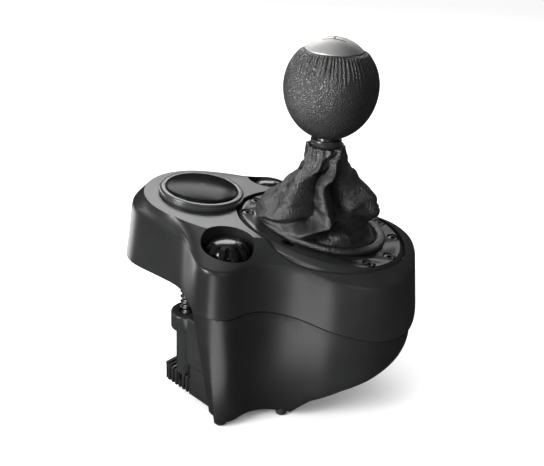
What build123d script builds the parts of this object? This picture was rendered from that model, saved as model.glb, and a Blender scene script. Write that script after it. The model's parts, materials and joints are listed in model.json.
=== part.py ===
from build123d import *
import math
import os

# A desk-clamped gear shifter for driving games. X runs across the driver, Y
# points away from the driver toward the round lobe over the table, and Z is
# up from the ground. The pieces are drawn with Y from the lever's mid line,
# and are then moved so that the origin is under the middle of the part.

# From the lever's mid line to the middle of the part's length
origin_ahead = 25.6

# Body outline
body_half_width = 68.2
lobe_reach = 107.2
rim_height = 99.0
rim_slope = 0.105
rim_round = 1.6
deck_height = 107.7
deck_slope = 0.095
wall = 2.6
overrun = 20.0
fit_gap = 0.3
running_gap = 0.05
rim_x_shares = [0, .227, .355, .455, .554, .638, .762, .902, .985, 1, .959,
                .836, .727, .66, .654, .686, .68, .625, .499, .279, 0]
rim_y_shares = [1, .973, .914, .809, .681, .597, .534, .476, .42, .359, .299,
                .246, .19, .098, -.028, -.149, -.261, -.373, -.457, -.512, -.526]
crease_x_shares = [0, .205, .315, .431, .513, .548, .572, .587, .592, .589, .578,
                   .557, .532, .49, .455, .434, .405, .352, .249, .132, 0]
crease_y_shares = [.937, .912, .872, .798, .692, .625, .56, .494, .438, .382, .326,
                   .271, .215, .121, 0, -.093, -.177, -.252, -.317, -.347, -.358]
skirt_depth = 48.0
skirt_flare_x = 2.2
skirt_flare_y = 7.0

# Seam between the two covers and the underside of the lobe
lobe_underside = 76.5
lobe_root = 38.0
tail_seam = 61.5
tail_reach = 56.4
seam_step = 0.5
seam_gap = 0.4

# Lower cover: the clamp column in front and the boat-shaped tail
base_height = 4.5
column_front = 54.6
column_corner = 15.0
corner_shares = [(.55, .12), (.88, .45)]
hull_draft_x = 6.5
hull_draft_front = 9.0
keel_y = [0, -11, -27, -41.5, -55.5, -64]
keel_z = [4.5, 16.5, 28, 37, 46.5, 53]

# Emblem on the lobe
emblem_centre = 68.6
ring_radius = 24.5
ring_height = 3.8
ring_width = 4.0
ring_step = 1.6
dome_height = 4.4
dome_rise = 1.8

# Plate under the boot
plate_half_width = 42.7
plate_front = 56.2
plate_back = 40.2
plate_centre = -10.0
plate_seat = 102.0
plate_slope = 0.15
plate_thickness = 3.4
plate_sink = 2.0
plate_bevel = 2.4
groove_gap = 0.8
mouth_radius = 25.0
screw_head = 3.4
head_share = .8
screw_shank = 1.5
screw_length = 9.0
plate_screw_x = [9.0, 30.8, 27.4, 12.3]
plate_screw_y = [39.0, 10.4, -33.0, -42.7]

# Leather boot and its hem
hem_half_width = 31.5
hem_front = 41.0
hem_back = 33.5
hem_centre = -5.0
hem_width = 5.0
hem_height = 3.6
boot_skin = 1.2
boot_gap = 1.0
boot_top_radius = 10.6
boot_top_height = 153.0
boot_levels = 6
boot_points = 32
bulge_shares = [0, .08, .10, .07, .03, 0]
lean_shares = [0, .02, .06, .06, .02, 0]
taper_shares = [1, .70, .60, .45, .25, 0]
fold_shares = [0, .035, .05, .055, .05, 0]
fold_count = 5

# Lever, its pivots and the ball grip
pivot_height = 70.0
lever_y = -1.0
shaft_radius = 5.0
pin_radius = 1.8
pin_length = 18.0
shaft_bottom = 33.0
shoulder_radius = 8.0
shoulder_height = 4.0
shoulder_at = 101.0
ball_radius = 25.0
ball_height = 184.5
ball_stretch = 28.0
ball_samples = 9
cap_cut = 18.7
cap_crown = 6.3
cap_thickness = 2.4
leather_skin = 1.4
collar_radius = 8.4
collar_height = 4.2
insert_radius = 6.4
insert_length = 22.0

# Gimbal
ring_outer = 24.0
ring_inner = 17.0
gimbal_height = 10.0
carrier_radius = 11.5
carrier_height = 34.0
trunnion_radius = 3.0
trunnion_reach = 35.0
side_pin_start = 7.5
side_pin_reach = 27.0
bush_wall = 1.6
spring_radius = 7.0
spring_wire = 0.7
spring_turns = 5
sensor_radius = 7.5
sensor_length = 7.0

# Steel chassis and the shift gate
chassis_half = 30.0
chassis_sheet = 2.5
chassis_length = 36.0
chassis_floor = 40.0
chassis_top = 79.0
gate_sheet = 3.0
gate_lane = 5.6
gate_throw = 8.6
gate_width = 4.6
boss_radius = 4.0
boss_x = 20.0
boss_y = 13.0
window_half_x = 14.0
window_half_y = 13.0

# Clamps
screw_x = 33.0
screw_y = 64.7
clamp_screw_radius = 4.4
journal_radius = 3.0
screw_bottom = 6.5
toe = math.radians(29)
arm_top = 56.5
arm_thickness = 10.0
arm_radius = 9.5
jaw_width = 13.0
jaw_tip = 12.6
jaw_root = 25.0
jaw_bottom = 5.5
jaw_tip_height = 11.5
jaw_root_height = 20.0
jaw_seat_share = .9
jaw_ribs = 7
rib_width = 1.5
rib_depth = 0.8
neck_length = 9.0
neck_share = .75
slot_gap = 0.5
nut_radius = 6.8
nut_height = 5.0

# Clamp knobs and their gears
knob_x = 45.5
knob_y = 39.0
well_radius = 13.8
well_floor = 93.0
knob_radius = 10.3
knob_bottom = 93.6
knob_height = 14.5
knob_crown = 2.6
knob_notches = 9
notch_radius = 2.2
notch_share = .45
notch_depth_share = .28
knob_shaft_radius = 3.0
gear_bottom = 80.4
gear_thickness = 5.0
knob_gear_teeth = 17
idler_teeth = 12
screw_gear_teeth = 12
idler_pin_radius = 1.5
tooth_addendum = 0.8
tooth_dedendum = 1.2
tooth_share = .36
tip_share = .2

# Floor of the lobe, feet, fasteners and electronics
floor_sheet = 3.0
floor_inset = 3.4
foot_radius = 3.4
foot_height = 4.5
foot_recess = 1.0
foot_x = 56.0
foot_front = 37.0
foot_back = 6.0
foot_back_share = .66
case_screw_radius = 3.2
case_screw_length = 8.0
rig_radius = 3.0
rig_wall = 1.6
rig_length = 8.0
rig_x = 25.0
rig_front = 36.0
rig_back = 6.5
socket_width = 13.0
socket_length = 8.0
socket_height = 12.0
socket_y = -36.0
socket_bottom = 34.0
board_sheet = 1.6
board_x = 20.0
board_length = 24.0
board_y = 15.0
board_rise = 3.0
post_share = .8

plate_plane = Plane(origin=(0, 0, plate_seat), x_dir=(1, 0, 0),
                    z_dir=(0, -plate_slope, 1))
deck_plane = Plane(origin=(0, 0, deck_height), x_dir=(1, 0, 0),
                   z_dir=(0, -deck_slope, 1))


# A closed wire through a mirrored half outline that starts and ends on X = 0.
def closed_ring(points):
    right = Spline(*points, tangents=[(1, 0, 0), (-1, 0, 0)], tangent_scalars=(1, 1))
    return Wire([right, right.mirror(Plane.YZ)])


# An outline on a plane that slopes along Y, swollen about its middle.
def outline(x_shares, y_shares, height, slope, swell_x=0.0, swell_y=0.0):
    middle = lobe_reach * (1 + rim_y_shares[-1]) / 2
    half = lobe_reach - middle
    points = []
    for x_share, y_share in zip(x_shares, y_shares):
        x = x_share * (body_half_width + swell_x)
        y = middle + (y_share * lobe_reach - middle) * (1 + swell_y / half)
        points.append((x, y, height + slope * y))
    return points


# Three outlines that round off an edge between a wall below and a slope above.
def rounded_edge(low, edge, high):
    below, middle, above = [], [], []
    for bottom, corner, top in zip(low, edge, high):
        down = Vector(corner) + (Vector(bottom) - Vector(corner)).normalized() * rim_round
        up = Vector(corner) + (Vector(top) - Vector(corner)).normalized() * rim_round
        below.append(tuple(down))
        above.append(tuple(up))
        middle.append(tuple((down + up + Vector(corner) * 2) / 4))
    return [below, middle, above]


# The upper cover's outer skin, or its inner skin when it is drawn inward.
def cover_skin(inward):
    low = outline(rim_x_shares, rim_y_shares, rim_height - skirt_depth - inward, rim_slope,
                  skirt_flare_x - inward, skirt_flare_y - inward)
    rim = outline(rim_x_shares, rim_y_shares, rim_height - inward, rim_slope, -inward, -inward)
    crease = outline(crease_x_shares, crease_y_shares, deck_height - inward, deck_slope,
                     -inward, -inward)
    edge = [rim] if inward else rounded_edge(low, rim, crease)
    skin = Solid.make_loft([closed_ring(level) for level in (low, *edge, crease)], ruled=True)
    return skin if skin.volume > 0 else -skin


# Everything below the seam, as one prism across the body.
def below_seam(raised=0.0):
    far = lobe_reach + overrun
    back = -tail_reach - overrun
    slope = (lobe_underside - tail_seam) / (lobe_root + tail_reach)
    points = [(far, lobe_underside + raised), (lobe_root, lobe_underside + raised),
              (back, tail_seam - slope * overrun + raised), (back, -overrun), (far, -overrun)]
    profile = make_face(Polyline(*[(0, y, z) for y, z in points], close=True))
    return extrude(profile, amount=2 * body_half_width, both=True, dir=(1, 0, 0))


def cylinder(radius, height, x, y, z):
    return Pos(x, y, z) * Cylinder(radius, height, align=(Align.CENTER, Align.CENTER, Align.MIN))


def block(width, length, height, x, y, z):
    return Pos(x, y, z) * Box(width, length, height, align=(Align.CENTER, Align.CENTER, Align.MIN))


# An egg-shaped face of two half ellipses, on the plate's own plane.
def egg(half_width, front, back, centre, grow=0.0):
    wide = half_width + grow
    ahead = EllipticalCenterArc((0, centre), wide, front + grow, start_angle=0, arc_size=180)
    behind = EllipticalCenterArc((0, centre), wide, back + grow, start_angle=180, arc_size=180)
    return make_face([ahead, behind])


def top_cover():
    shell = cover_skin(0.0) - cover_skin(wall) - below_seam()
    pocket = plate_plane * Pos(0, 0, -plate_sink) * extrude(
        egg(plate_half_width, plate_front, plate_back, plate_centre, groove_gap), overrun)
    seat = plate_plane * Pos(0, 0, -plate_sink - wall) * extrude(
        egg(plate_half_width, plate_front, plate_back, plate_centre, groove_gap), wall)
    seat = Part() + (seat & cover_skin(seam_step))
    mouth = plate_plane * Pos(0, lever_y, -overrun) * Cylinder(mouth_radius, 3 * overrun)
    shell = shell + seat - pocket - mouth
    for side in (-1, 1):
        cup = cylinder(well_radius + wall, deck_height, side * knob_x, knob_y, well_floor - wall)
        shell = shell + (cup & cover_skin(0.0))
    for side in (-1, 1):
        shell -= cylinder(well_radius, 2 * overrun, side * knob_x, knob_y, well_floor)
        shell -= cylinder(knob_shaft_radius + running_gap, 2 * overrun, side * knob_x, knob_y,
                          well_floor - overrun)
    for x, y in plate_screw_places():
        shell -= plate_plane * Pos(x, y, -overrun) * Cylinder(screw_shank, 2 * overrun)
    shell -= deck_plane * Pos(0, emblem_centre, 0) * Cylinder(ring_step, 2 * overrun)
    return shell


def plate_screw_places():
    return [(side * x, y) for x, y in zip(plate_screw_x, plate_screw_y) for side in (-1, 1)]


def lobe_floor():
    low = outline(rim_x_shares, rim_y_shares, rim_height - skirt_depth, rim_slope,
                  skirt_flare_x - floor_inset, skirt_flare_y - floor_inset)
    rim = outline(rim_x_shares, rim_y_shares, rim_height, rim_slope, -floor_inset, -floor_inset)
    core = Solid.make_loft([closed_ring(low), closed_ring(rim)], ruled=True)
    slab_length = lobe_reach + overrun - column_front
    slab = block(2 * body_half_width, slab_length, floor_sheet,
                 0, column_front + slab_length / 2 - floor_inset, lobe_underside)
    sheet = slab & core
    for side in (-1, 1):
        sheet -= cylinder(journal_radius + bush_wall, 2 * overrun,
                          side * screw_x, screw_y, lobe_underside - overrun)
        x, y = idler_centre(side)
        sheet -= cylinder(idler_pin_radius, 2 * overrun, x, y, lobe_underside - overrun)
    return sheet


# Plan of the lower cover: a flat front between two rounded clamp noses.
def hull_ring(height_at, shrink_x, shrink_front, shrink_back):
    middle = lobe_reach * (1 + rim_y_shares[-1]) / 2
    half = lobe_reach - middle
    drop = (rim_height - lobe_underside) / skirt_depth
    points = []
    for x_share, y_share in zip(rim_x_shares, rim_y_shares):
        x = x_share * (body_half_width + skirt_flare_x * drop - seam_step)
        y = middle + (y_share * lobe_reach - middle) * (1 + (skirt_flare_y * drop - seam_step) / half)
        y = y if y > 0 else y * (1 - shrink_back / tail_reach)
        points.append((x * (1 - shrink_x / body_half_width), y))
    front = column_front - shrink_front
    side_x = points[8][0]
    side_y = points[9][1]
    flat = side_x - column_corner
    nose = [(0, front), (flat / 2, front), (flat, front)]
    for across, along in corner_shares:
        nose.append((flat + column_corner * across, front - column_corner * along))
    kept = nose + [(side_x + seam_step, side_y)] + points[10:]
    return closed_ring([(x, y, height_at(y)) for x, y in kept])


def seam_z(y):
    slope = (lobe_underside - tail_seam) / (lobe_root + tail_reach)
    return lobe_underside + slope * min(0.0, y - lobe_root)


def hull_skin(inward):
    seam = hull_ring(seam_z, inward, inward, inward)
    low = hull_ring(lambda y: base_height, inward + hull_draft_x, inward + hull_draft_front, inward)
    skin = Solid.make_loft([low, seam], ruled=True)
    return skin if skin.volume > 0 else -skin


# What lies under the boat-shaped keel, as a prism across the body.
def below_keel(inward):
    points = [(0, keel_y[0] + overrun * 3, keel_z[0] + inward)]
    points += [(0, y, z + inward) for y, z in zip(keel_y, keel_z)]
    curve = Polyline(*points)
    back = (0, keel_y[-1] - overrun, keel_z[-1] + inward + overrun)
    close = Polyline(points[-1], back, (0, back[1], -overrun), (0, points[0][1], -overrun), points[0])
    profile = make_face([curve, close])
    return extrude(profile, amount=2 * body_half_width, both=True, dir=(1, 0, 0))


def toe_frame(side):
    return Pos(side * screw_x, screw_y, 0) * Rot(0, 0, side * math.degrees(toe))


def bottom_cover():
    outer = (hull_skin(0.0) & below_seam(-seam_gap)) - below_keel(0.0)
    inner = hull_skin(wall) - below_keel(wall)
    shell = outer - inner
    for x in (-boss_x, boss_x):
        for y in (-boss_y, boss_y):
            boss = cylinder(boss_radius, chassis_floor, x, lever_y + y, 0)
            shell += boss & outer
            shell -= cylinder(screw_shank, case_screw_length, x, lever_y + y,
                              chassis_floor - case_screw_length)
    for side in (-1, 1):
        slot = toe_frame(side) * Pos(0, -jaw_root / 2, base_height) * Box(
            jaw_width + 2 * slot_gap, jaw_root + 2 * slot_gap, lobe_underside,
            align=(Align.CENTER, Align.CENTER, Align.MIN))
        shell -= slot
        for y in (foot_front, foot_back):
            shell -= cylinder(foot_radius + fit_gap, foot_recess, side * foot_place(y), y,
                              base_height)
    shell = shell - rig_bores()
    return shell - block(socket_width, socket_length, overrun, 0, socket_y, keel_z[0] + overrun)


def foot_place(y):
    return foot_x if y == foot_front else foot_x * foot_back_share


def rig_bores():
    bores = Part()
    for side in (-1, 1):
        for y in (rig_front, rig_back):
            bores += cylinder(rig_radius + rig_wall, rig_length, side * rig_x, y, base_height)
    return bores


def rig_inserts():
    inserts = Part()
    for side in (-1, 1):
        for y in (rig_front, rig_back):
            sleeve = cylinder(rig_radius + rig_wall, rig_length, side * rig_x, y, base_height)
            inserts += sleeve - cylinder(rig_radius, rig_length, side * rig_x, y, base_height)
    return inserts


def feet():
    nubs = Part()
    for side in (-1, 1):
        for y in (foot_front, foot_back):
            nub = cylinder(foot_radius, foot_height + foot_recess, side * foot_place(y), y, 0)
            nubs += chamfer(nub.edges().group_by(Axis.Z)[0], foot_recess)
    return nubs


def emblem_ring():
    outer = Cylinder(ring_radius, ring_height - ring_step, align=(Align.CENTER, Align.CENTER, Align.MIN))
    step = Pos(0, 0, ring_height - ring_step) * Cylinder(
        ring_radius - ring_step / 2, ring_step, align=(Align.CENTER, Align.CENTER, Align.MIN))
    ring = outer + step
    ring -= Pos(0, 0, ring_step) * Cylinder(ring_radius - ring_width, ring_height,
                                            align=(Align.CENTER, Align.CENTER, Align.MIN))
    ring = chamfer(ring.edges().group_by(Axis.Z)[-1], ring_step / 3)
    return deck_plane * Pos(0, emblem_centre, 0) * ring


def emblem_dome():
    base = ring_radius - ring_width
    sphere = (base * base + dome_rise * dome_rise) / (2 * dome_rise)
    straight = dome_height - dome_rise
    side = Polyline((0, 0), (base, 0), (base, straight))
    crown = ThreePointArc((base, straight), (base / 2, straight - sphere + dome_rise
                          + math.sqrt(sphere * sphere - base * base / 4)), (0, dome_height))
    axis = Line((0, dome_height), (0, 0))
    profile = Plane.XZ * make_face([side, crown, axis])
    return deck_plane * Pos(0, emblem_centre, ring_step) * revolve(profile, Axis.Z)


def boot_plate():
    plate = Pos(0, 0, -plate_sink) * extrude(
        egg(plate_half_width, plate_front, plate_back, plate_centre), plate_thickness + plate_sink)
    plate = chamfer(plate.edges().group_by(Axis.Z)[-1], plate_bevel)
    plate -= Pos(0, lever_y, 0) * Cylinder(mouth_radius, 2 * overrun)
    for x, y in plate_screw_places():
        plate -= Pos(x, y, 0) * Cylinder(screw_shank + fit_gap, 2 * overrun)
        plate -= Pos(x, y, plate_thickness - screw_head / 2) * Cylinder(
            screw_head + fit_gap, screw_head, align=(Align.CENTER, Align.CENTER, Align.MIN))
    return plate_plane * plate


def plate_screws():
    screws = Part()
    head = screw_head / 2
    for x, y in plate_screw_places():
        top = Pos(x, y, plate_thickness - head) * Cylinder(
            screw_head, head * head_share, align=(Align.CENTER, Align.CENTER, Align.MIN))
        shank = Pos(x, y, plate_thickness - head - screw_length) * Cylinder(
            screw_shank, screw_length, align=(Align.CENTER, Align.CENTER, Align.MIN))
        screws += top + shank
    return plate_plane * screws


def boot_hem():
    outer = extrude(egg(hem_half_width, hem_front, hem_back, hem_centre), hem_height)
    outer = fillet(outer.edges().group_by(Axis.Z)[-1], hem_width / 4)
    inner = extrude(egg(hem_half_width, hem_front, hem_back, hem_centre, -hem_width), hem_height)
    return plate_plane * Pos(0, 0, plate_thickness) * (outer - inner)


# One level of the boot, from the hem (level 0) to the lever (last level).
def boot_ring(level, inward):
    rise = level / (boot_levels - 1)
    taper = taper_shares[level]
    bulge = bulge_shares[level]
    lean = lean_shares[level]
    low = plate_seat + plate_thickness * math.hypot(1, plate_slope) + running_gap
    grow = hem_width + boot_gap + inward
    points = []
    for step in range(boot_points // 2 + 1):
        turn = math.pi / 2 - math.tau * step / boot_points
        half_y = hem_front if turn >= 0 else hem_back
        fold = 1 + fold_shares[level] * math.cos(fold_count * (turn - math.pi / 2))
        wide = (hem_half_width - grow) * (taper + bulge) * fold
        deep = (half_y - grow) * (taper + bulge + lean * math.sin(turn)) * fold
        top = boot_top_radius - inward
        x = wide + (1 - taper) * top if taper < 1 else wide
        y = deep + (1 - taper) * top if taper < 1 else deep
        centre = hem_centre + (lever_y - hem_centre) * rise
        place_y = centre + y * math.sin(turn)
        base = low + plate_slope * place_y
        height = base + (boot_top_height - base) * rise
        points.append((x * math.cos(turn) if 0 < step < boot_points // 2 else 0.0, place_y, height))
    return closed_ring(points)


def leather_boot():
    outer = Solid.make_loft([boot_ring(level, 0.0) for level in range(boot_levels)], ruled=True)
    inner = Solid.make_loft([boot_ring(level, boot_skin) for level in range(boot_levels)], ruled=True)
    outer = outer if outer.volume > 0 else -outer
    inner = inner if inner.volume > 0 else -inner
    return outer - inner


def lever_shaft():
    pin = cylinder(pin_radius, pin_length, 0, lever_y, shaft_bottom)
    rod_bottom = shaft_bottom + pin_length
    rod = cylinder(shaft_radius, ball_height - rod_bottom, 0, lever_y, rod_bottom)
    shoulder = cylinder(shoulder_radius, shoulder_height, 0, lever_y, shoulder_at)
    return pin + rod + shoulder


def knob_insert():
    low = ball_height - insert_length / 2
    sleeve = Pos(0, lever_y, low) * extrude(RegularPolygon(insert_radius, 6), insert_length)
    return sleeve - cylinder(shaft_radius, ball_height - low, 0, lever_y, low)


# Half profile of the ball: round above the middle, drawn out below it.
def grip_solid(radius, stretch, top_cut, neck):
    upper = [(0, top_cut), (math.sqrt(radius * radius - top_cut * top_cut), top_cut), (radius, 0)]
    middle = (radius * math.cos(math.asin(top_cut / radius) / 2),
              radius * math.sin(math.asin(top_cut / radius) / 2))
    end = math.acos(neck / radius)
    lower = [(radius * math.cos(end * i / ball_samples), -stretch * math.sin(end * i / ball_samples))
             for i in range(ball_samples + 1)]
    profile = make_face([Line(upper[0], upper[1]), ThreePointArc(upper[1], middle, upper[2]),
                         Spline(*lower, tangents=[(0, -1), (-1, -neck / radius)]),
                         Line(lower[-1], (0, lower[-1][1])), Line((0, lower[-1][1]), upper[0])])
    return Pos(0, lever_y, ball_height) * revolve(Plane.XZ * profile, Axis.Z)


def knob_core():
    core = grip_solid(ball_radius - leather_skin, ball_stretch - leather_skin,
                      cap_cut - cap_thickness, collar_radius)
    low = ball_height - insert_length / 2
    core -= Pos(0, lever_y, low) * extrude(RegularPolygon(insert_radius, 6), insert_length)
    return core - cylinder(shaft_radius + running_gap, insert_length * 2, 0, lever_y,
                           low - insert_length * 2)


def knob_leather():
    skin = grip_solid(ball_radius, ball_stretch, cap_cut, collar_radius)
    core = grip_solid(ball_radius - leather_skin, ball_stretch - leather_skin,
                      cap_cut - cap_thickness, collar_radius)
    mouth_radius_top = math.sqrt(ball_radius ** 2 - cap_cut ** 2) - leather_skin
    skin = skin - core
    skin -= cylinder(mouth_radius_top, overrun, 0, lever_y, ball_height + cap_cut - cap_thickness)
    return skin - cylinder(shaft_radius + running_gap, overrun, 0, lever_y,
                           ball_height - ball_stretch - overrun / 2)


def knob_cap():
    radius = math.sqrt(ball_radius ** 2 - cap_cut ** 2) - leather_skin - running_gap
    sphere = (radius * radius + cap_crown * cap_crown) / (2 * cap_crown)
    top = cap_cut + cap_crown
    half = cap_cut + math.sqrt(sphere * sphere - radius * radius / 4) - sphere + cap_crown
    profile = make_face([Polyline((0, cap_cut - cap_thickness), (radius, cap_cut - cap_thickness),
                                  (radius, cap_cut)),
                         ThreePointArc((radius, cap_cut), (radius / 2, half), (0, top)),
                         Line((0, top), (0, cap_cut - cap_thickness))])
    return Pos(0, lever_y, ball_height) * revolve(Plane.XZ * profile, Axis.Z)


def knob_collar():
    low = ball_height - ball_stretch - collar_height
    body = cylinder(collar_radius, collar_height, 0, lever_y, low)
    body = chamfer(body.edges().group_by(Axis.Z)[0], collar_height / 6)
    return body - cylinder(shaft_radius, 2 * collar_height, 0, lever_y, low - fit_gap)


def gimbal_ring():
    low = pivot_height - gimbal_height / 2
    ring = cylinder(ring_outer, gimbal_height, 0, lever_y, low)
    ring -= cylinder(ring_inner, gimbal_height, 0, lever_y, low)
    ring -= Pos(0, lever_y, pivot_height) * Rot(90, 0, 0) * Cylinder(
        trunnion_radius + running_gap, 4 * ring_outer)
    return ring - (Pos(0, lever_y, pivot_height) * Rot(0, 90, 0) * Cylinder(
        trunnion_radius, 4 * ring_outer))


def gimbal_trunnions():
    length = trunnion_reach - ring_inner - fit_gap
    pins = Part()
    for side in (-1, 1):
        middle = side * (ring_inner + fit_gap + length / 2)
        pins += Pos(middle, lever_y, pivot_height) * Rot(0, 90, 0) * Cylinder(trunnion_radius, length)
    return pins


def lever_carrier():
    low = pivot_height - carrier_height / 2
    body = cylinder(carrier_radius, carrier_height, 0, lever_y, low)
    body -= cylinder(shaft_radius + running_gap, carrier_height, 0, lever_y, low)
    pins = Part()
    length = side_pin_reach - side_pin_start
    for side in (-1, 1):
        middle = side * (side_pin_start + length / 2)
        pins += Pos(0, lever_y + middle, pivot_height) * Rot(90, 0, 0) * Cylinder(
            trunnion_radius, length)
    return body + pins


def side_sensor():
    body = Pos(0, lever_y + ring_outer + sensor_length / 2 + running_gap, pivot_height) * Rot(
        90, 0, 0) * Cylinder(sensor_radius, sensor_length)
    return body - (Pos(0, lever_y + ring_outer, pivot_height) * Rot(90, 0, 0) * Cylinder(
        trunnion_radius + fit_gap, 2 * (side_pin_reach - ring_outer + fit_gap)))


def fore_aft_sensor():
    start = chassis_half + chassis_sheet + bush_wall
    body = Pos(start + sensor_length / 2, lever_y, pivot_height) * Rot(0, 90, 0) * Cylinder(
        sensor_radius, sensor_length)
    return body - (Pos(start, lever_y, pivot_height) * Rot(0, 90, 0) * Cylinder(
        trunnion_radius + fit_gap, 2 * (trunnion_reach - start + fit_gap)))


def reverse_spring():
    low = pivot_height + carrier_height / 2 + spring_wire + running_gap
    high = shoulder_at - spring_wire - running_gap
    length = high - low
    pitch = length / spring_turns
    coil = Helix(pitch, length, spring_radius, center=(0, lever_y, low))
    section = Plane(origin=coil @ 0, z_dir=coil % 0) * Circle(spring_wire)
    return sweep(section, path=coil, is_frenet=True)


def chassis():
    low = chassis_floor
    floor = block(2 * chassis_half + 2 * chassis_sheet, chassis_length, chassis_sheet, 0, lever_y, low)
    floor -= block(2 * window_half_x, 2 * window_half_y - boss_radius, overrun, 0, lever_y,
                   low - overrun / 2)
    body = floor
    for side in (-1, 1):
        x = side * (chassis_half + chassis_sheet / 2)
        cheek = block(chassis_sheet, chassis_length, chassis_top - low, x, lever_y, low)
        cheek = fillet(cheek.edges().filter_by(Axis.X).group_by(Axis.Z)[-1], chassis_length / 4)
        body += cheek
    for x in (-boss_x, boss_x):
        for y in (-boss_y, boss_y):
            body -= cylinder(screw_shank + fit_gap, overrun, x, lever_y + y, low - overrun / 2)
    return body - (Pos(0, lever_y, pivot_height) * Rot(0, 90, 0) * Cylinder(
        trunnion_radius + bush_wall, 4 * chassis_half))


def gimbal_bushes():
    bushes = Part()
    length = chassis_sheet + bush_wall
    for side in (-1, 1):
        middle = side * (chassis_half + length / 2)
        place = Pos(middle, lever_y, pivot_height) * Rot(0, 90, 0)
        sleeve = Cylinder(trunnion_radius + bush_wall, length)
        bushes += place * (sleeve - Cylinder(trunnion_radius + running_gap, length))
    return bushes


def gate_plate():
    low = chassis_floor - gate_sheet
    plate = block(2 * boss_x - 2 * boss_radius - 2 * fit_gap, 2 * (boss_y + boss_radius), gate_sheet,
                  0, lever_y, low)
    for lane in (-gate_lane, 0, gate_lane):
        slot = Pos(lane, lever_y, low) * SlotOverall(
            2 * gate_throw + gate_width, gate_width, rotation=90)
        plate -= extrude(slot, 2 * gate_sheet)
    cross = Pos(0, lever_y, low) * SlotOverall(2 * gate_lane + gate_width, gate_width)
    return plate - extrude(cross, 2 * gate_sheet)


def chassis_screws():
    screws = Part()
    for x in (-boss_x, boss_x):
        for y in (-boss_y, boss_y):
            top = chassis_floor + chassis_sheet
            screws += cylinder(case_screw_radius, case_screw_radius * head_share, x, lever_y + y, top)
            screws += cylinder(screw_shank, case_screw_length + chassis_sheet, x, lever_y + y,
                               chassis_floor - case_screw_length)
    return screws


def circuit_board():
    top = lobe_underside + floor_sheet + board_rise
    board = block(2 * board_x, board_length, board_sheet, 0, screw_y + board_y, top)
    chips = block(board_x / 2, board_length / 2, board_sheet, 0, screw_y + board_y, top + board_sheet)
    posts = Part()
    for side in (-1, 1):
        posts += cylinder(screw_shank, board_rise, side * board_x * post_share, screw_y + board_y, top - board_rise)
    return board + chips + posts


# The socket stands in its opening in the sloping keel and opens downward.
def cable_socket():
    body = block(socket_width, socket_length, socket_height, 0, socket_y, socket_bottom)
    return body - block(socket_width - wall, socket_length - wall, socket_height, 0, socket_y,
                        socket_bottom - wall)


# The jaw is drawn with its screw on the Z axis and its tip along +Y.
def clamp_jaw(side):
    top_tip = jaw_bottom + jaw_tip_height
    top_root = jaw_bottom + jaw_root_height
    back = -jaw_root
    points = [(jaw_tip, jaw_bottom), (jaw_tip, top_tip), (-arm_radius, top_root), (back, top_root),
              (back, jaw_bottom)]
    profile = make_face(Polyline(*[(0, y, z) for y, z in points], close=True))
    body = extrude(profile, amount=jaw_width / 2, both=True, dir=(1, 0, 0))
    body = fillet(body.edges().filter_by(Axis.Z).group_by(Axis.Y)[-1], rib_width)
    pitch = (jaw_tip + arm_radius) / jaw_ribs
    for rib in range(jaw_ribs):
        y = jaw_tip - pitch * rib - pitch / 2
        for edge in (-1, 1):
            body -= Pos(edge * jaw_width / 2, y, jaw_bottom - overrun) * Box(
                2 * rib_depth, rib_width, 4 * overrun, align=(Align.CENTER, Align.CENTER, Align.MIN))
    flat = jaw_bottom + jaw_tip_height * jaw_seat_share
    body -= Pos(0, 0, flat) * Box(jaw_width * 2, 2 * arm_radius, overrun,
                                  align=(Align.CENTER, Align.CENTER, Align.MIN))
    body -= Pos(0, 0, flat - nut_height) * extrude(RegularPolygon(nut_radius, 6), nut_height)
    body -= Pos(0, 0, jaw_bottom - overrun) * Cylinder(
        clamp_screw_radius + fit_gap, overrun * 2, align=(Align.CENTER, Align.CENTER, Align.MIN))
    return toe_frame(side) * body


def jaw_nut(side):
    flat = jaw_bottom + jaw_tip_height * jaw_seat_share
    nut = extrude(RegularPolygon(nut_radius - running_gap, 6), nut_height)
    nut -= Cylinder(clamp_screw_radius + running_gap, 4 * nut_height)
    return toe_frame(side) * Pos(0, 0, flat - nut_height) * nut


# The adapter stands on the jaw and carries the smooth arm for thin tables.
def clamp_adapter(side):
    flat = jaw_bottom + jaw_tip_height * jaw_seat_share
    low = arm_top - arm_thickness
    root = -jaw_root
    disc = Pos(0, 0, low) * Cylinder(arm_radius, arm_thickness,
                                     align=(Align.CENTER, Align.CENTER, Align.MIN))
    points = [(0, low), (0, arm_top), (root, arm_top), (root, flat + arm_thickness),
              (-neck_length * neck_share, flat + arm_thickness), (-neck_length * neck_share, low - arm_thickness / 2)]
    profile = make_face(Polyline(*[(0, y, z) for y, z in points], close=True))
    arm = extrude(profile, amount=jaw_width / 2, both=True, dir=(1, 0, 0))
    leg = Pos(0, 0, flat) * Cylinder(jaw_width / 2, low - flat,
                                     align=(Align.CENTER, Align.CENTER, Align.MIN))
    body = disc + arm + leg
    body = chamfer(body.edges().group_by(Axis.Z)[-1], rib_depth)
    body -= Pos(0, 0, flat - fit_gap) * Cylinder(
        clamp_screw_radius + fit_gap, arm_top, align=(Align.CENTER, Align.CENTER, Align.MIN))
    return toe_frame(side) * body


def clamp_screw(side):
    top = gear_bottom + gear_thickness
    thread_top = lobe_underside - fit_gap
    thread = cylinder(clamp_screw_radius, thread_top - screw_bottom, side * screw_x, screw_y,
                      screw_bottom)
    return thread + cylinder(journal_radius, top - thread_top, side * screw_x, screw_y, thread_top)


def screw_bush(side):
    height = gear_bottom - lobe_underside - fit_gap
    sleeve = cylinder(journal_radius + bush_wall, height, side * screw_x, screw_y, lobe_underside)
    return sleeve - cylinder(journal_radius + running_gap, 2 * height, side * screw_x, screw_y,
                             lobe_underside - fit_gap)


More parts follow.
